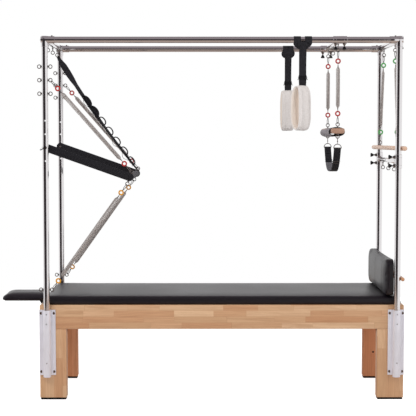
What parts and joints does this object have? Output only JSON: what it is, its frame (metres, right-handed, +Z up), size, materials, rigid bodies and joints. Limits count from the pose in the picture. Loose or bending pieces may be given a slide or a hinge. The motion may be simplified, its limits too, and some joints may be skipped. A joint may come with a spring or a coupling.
{
  "type": "pilates trapeze table",
  "caption": "Padded wooden exercise table under a tubular canopy, with a sprung push-through bar, a sliding trapeze, hanging slings, a roll-down bar and a back pad.",
  "frame": {"origin": "on the floor under the middle of the whole table's bounding box", "axes": "+X along the table towards the roll-down end, +Y towards the rear long side, +Z up"},
  "size_m": [2.4786, 0.8538, 2.1908],
  "materials": {
    "wood": "satin",
    "foot_rubber": "matte",
    "upholstery": "satin",
    "socket_metal": "satin",
    "tube_chrome": "polished",
    "black_paint": "satin",
    "grip_foam": "matte",
    "spring_steel": "satin",
    "black_webbing": "matte",
    "knob_plastic": "satin",
    "sling_fleece": "matte"
  },
  "bodies": {
    "table": {"leg_front_left": "wood", "leg_front_right": "wood", "leg_rear_left": "wood", "leg_rear_right": "wood", "foot_pad_front_left": "foot_rubber", "foot_pad_front_right": "foot_rubber", "foot_pad_rear_left": "foot_rubber", "foot_pad_rear_right": "foot_rubber", "apron_front": "wood", "apron_rear": "wood", "apron_left": "wood", "apron_right": "wood", "deck": "wood", "mattress": "upholstery", "post_socket_front_left": "socket_metal", "post_socket_front_right": "socket_metal", "post_socket_rear_left": "socket_metal", "post_socket_rear_right": "socket_metal", "post_front_left": "tube_chrome", "post_front_right": "tube_chrome", "post_rear_left": "tube_chrome", "post_rear_right": "tube_chrome", "rail_front": "tube_chrome", "rail_rear": "tube_chrome", "end_rail_left": "tube_chrome", "end_rail_right": "tube_chrome", "push_spring_upper_front": "spring_steel", "push_spring_upper_rear": "spring_steel", "push_spring_lower_front": "spring_steel", "push_spring_lower_rear": "spring_steel", "safety_strap": "black_webbing", "roll_spring_front": "spring_steel", "roll_spring_rear": "spring_steel"},
    "push_bar": {"push_bar_arm_front": "black_paint", "push_bar_arm_rear": "black_paint", "push_bar_cross_bar": "black_paint", "push_bar_grip_front": "grip_foam", "push_bar_grip_rear": "grip_foam"},
    "top_slider": {"top_slider": "tube_chrome"},
    "top_knob_front_1": {"top_slider_knob_front_1": "knob_plastic"},
    "top_knob_front_2": {"top_slider_knob_front_2": "knob_plastic"},
    "top_knob_rear_1": {"top_slider_knob_rear_1": "knob_plastic"},
    "top_knob_rear_2": {"top_slider_knob_rear_2": "knob_plastic"},
    "trapeze_springs": {"trapeze_spring_front": "spring_steel", "trapeze_spring_rear": "spring_steel"},
    "trapeze": {"trapeze_bar": "wood", "trapeze_pad": "grip_foam"},
    "foot_strap": {"foot_strap": "black_webbing"},
    "sling_front": {"sling_front": "sling_fleece"},
    "sling_rear": {"sling_rear": "sling_fleece"},
    "roll_slider": {"roll_slider": "tube_chrome"},
    "roll_knob_front_1": {"roll_slider_knob_front_1": "knob_plastic"},
    "roll_knob_front_2": {"roll_slider_knob_front_2": "knob_plastic"},
    "roll_knob_rear_1": {"roll_slider_knob_rear_1": "knob_plastic"},
    "roll_knob_rear_2": {"roll_slider_knob_rear_2": "knob_plastic"},
    "roll_bar": {"roll_down_bar": "wood"},
    "back_pad": {"back_pad": "upholstery", "back_pad_dowel": "wood"},
    "extension": {"extension_cushion": "upholstery", "extension_board": "wood"}
  },
  "joints": [
    {"name": "push_bar_pivot", "type": "hinge", "parent": "table", "child": "push_bar", "pos_m": [-0.91432, 0.00379, 1.526], "axis": [0, 1, 0], "range_deg": [-35, 0], "stiffness_Nm_per_rad": 20, "springref_deg": 17.19, "deforming": ["push_spring_upper_front", "push_spring_upper_rear", "push_spring_lower_front", "push_spring_lower_rear", "safety_strap"]},
    {"name": "top_slider_slide", "type": "slide", "parent": "table", "child": "top_slider", "axis": [1, 0, 0], "range_m": [-0.03, 0.08]},
    {"name": "top_knob_front_1_turn", "type": "hinge", "parent": "top_slider", "child": "top_knob_front_1", "pos_m": [0.81068, -0.37621, 2.1155], "axis": [0, 0, 1], "continuous": true},
    {"name": "top_knob_front_2_turn", "type": "hinge", "parent": "top_slider", "child": "top_knob_front_2", "pos_m": [0.86268, -0.37621, 2.1155], "axis": [0, 0, 1], "continuous": true},
    {"name": "top_knob_rear_1_turn", "type": "hinge", "parent": "top_slider", "child": "top_knob_rear_1", "pos_m": [0.81068, 0.38379, 2.1155], "axis": [0, 0, 1], "continuous": true},
    {"name": "top_knob_rear_2_turn", "type": "hinge", "parent": "top_slider", "child": "top_knob_rear_2", "pos_m": [0.86268, 0.38379, 2.1155], "axis": [0, 0, 1], "continuous": true},
    {"name": "trapeze_swing", "type": "hinge", "parent": "top_slider", "child": "trapeze_springs", "pos_m": [0.83668, 0.00379, 2.11], "axis": [0, -1, 0], "range_deg": [-10, 10]},
    {"name": "trapeze_pull", "type": "slide", "parent": "trapeze_springs", "child": "trapeze", "axis": [0, 0, -1], "range_m": [0, 0.35], "stiffness_N_per_m": 300, "springref_m": -0.12, "deforming": ["trapeze_spring_front", "trapeze_spring_rear"]},
    {"name": "foot_strap_swing", "type": "hinge", "parent": "trapeze", "child": "foot_strap", "pos_m": [0.83668, 0.00379, 1.592], "axis": [0, -1, 0], "range_deg": [-20, 20]},
    {"name": "sling_front_swing", "type": "hinge", "parent": "table", "child": "sling_front", "pos_m": [0.61568, -0.37621, 2.164], "axis": [1, 0, 0], "range_deg": [-25, 25]},
    {"name": "sling_rear_swing", "type": "hinge", "parent": "table", "child": "sling_rear", "pos_m": [0.58268, 0.38379, 2.164], "axis": [1, 0, 0], "range_deg": [-25, 25]},
    {"name": "roll_slider_slide", "type": "slide", "parent": "table", "child": "roll_slider", "axis": [0, 0, 1], "range_m": [-0.15, 0.01]},
    {"name": "roll_knob_front_1_turn", "type": "hinge", "parent": "roll_slider", "child": "roll_knob_front_1", "pos_m": [1.14118, -0.37621, 1.47], "axis": [1, 0, 0], "continuous": true},
    {"name": "roll_knob_front_2_turn", "type": "hinge", "parent": "roll_slider", "child": "roll_knob_front_2", "pos_m": [1.14118, -0.37621, 1.418], "axis": [1, 0, 0], "continuous": true},
    {"name": "roll_knob_rear_1_turn", "type": "hinge", "parent": "roll_slider", "child": "roll_knob_rear_1", "pos_m": [1.14118, 0.38379, 1.47], "axis": [1, 0, 0], "continuous": true},
    {"name": "roll_knob_rear_2_turn", "type": "hinge", "parent": "roll_slider", "child": "roll_knob_rear_2", "pos_m": [1.14118, 0.38379, 1.418], "axis": [1, 0, 0], "continuous": true},
    {"name": "roll_bar_twist", "type": "hinge", "parent": "table", "child": "roll_bar", "pos_m": [1.18968, 0.00379, 1.521], "axis": [0, 0, 1], "range_deg": [0, 12], "stiffness_Nm_per_rad": 3, "springref_deg": -4.98, "deforming": ["roll_spring_front", "roll_spring_rear"]},
    {"name": "back_pad_lift", "type": "slide", "parent": "table", "child": "back_pad", "axis": [0, 0, 1], "range_m": [0, 0.2]},
    {"name": "extension_slide", "type": "slide", "parent": "table", "child": "extension", "axis": [-1, 0, 0], "range_m": [0, 0.12]}
  ]
}
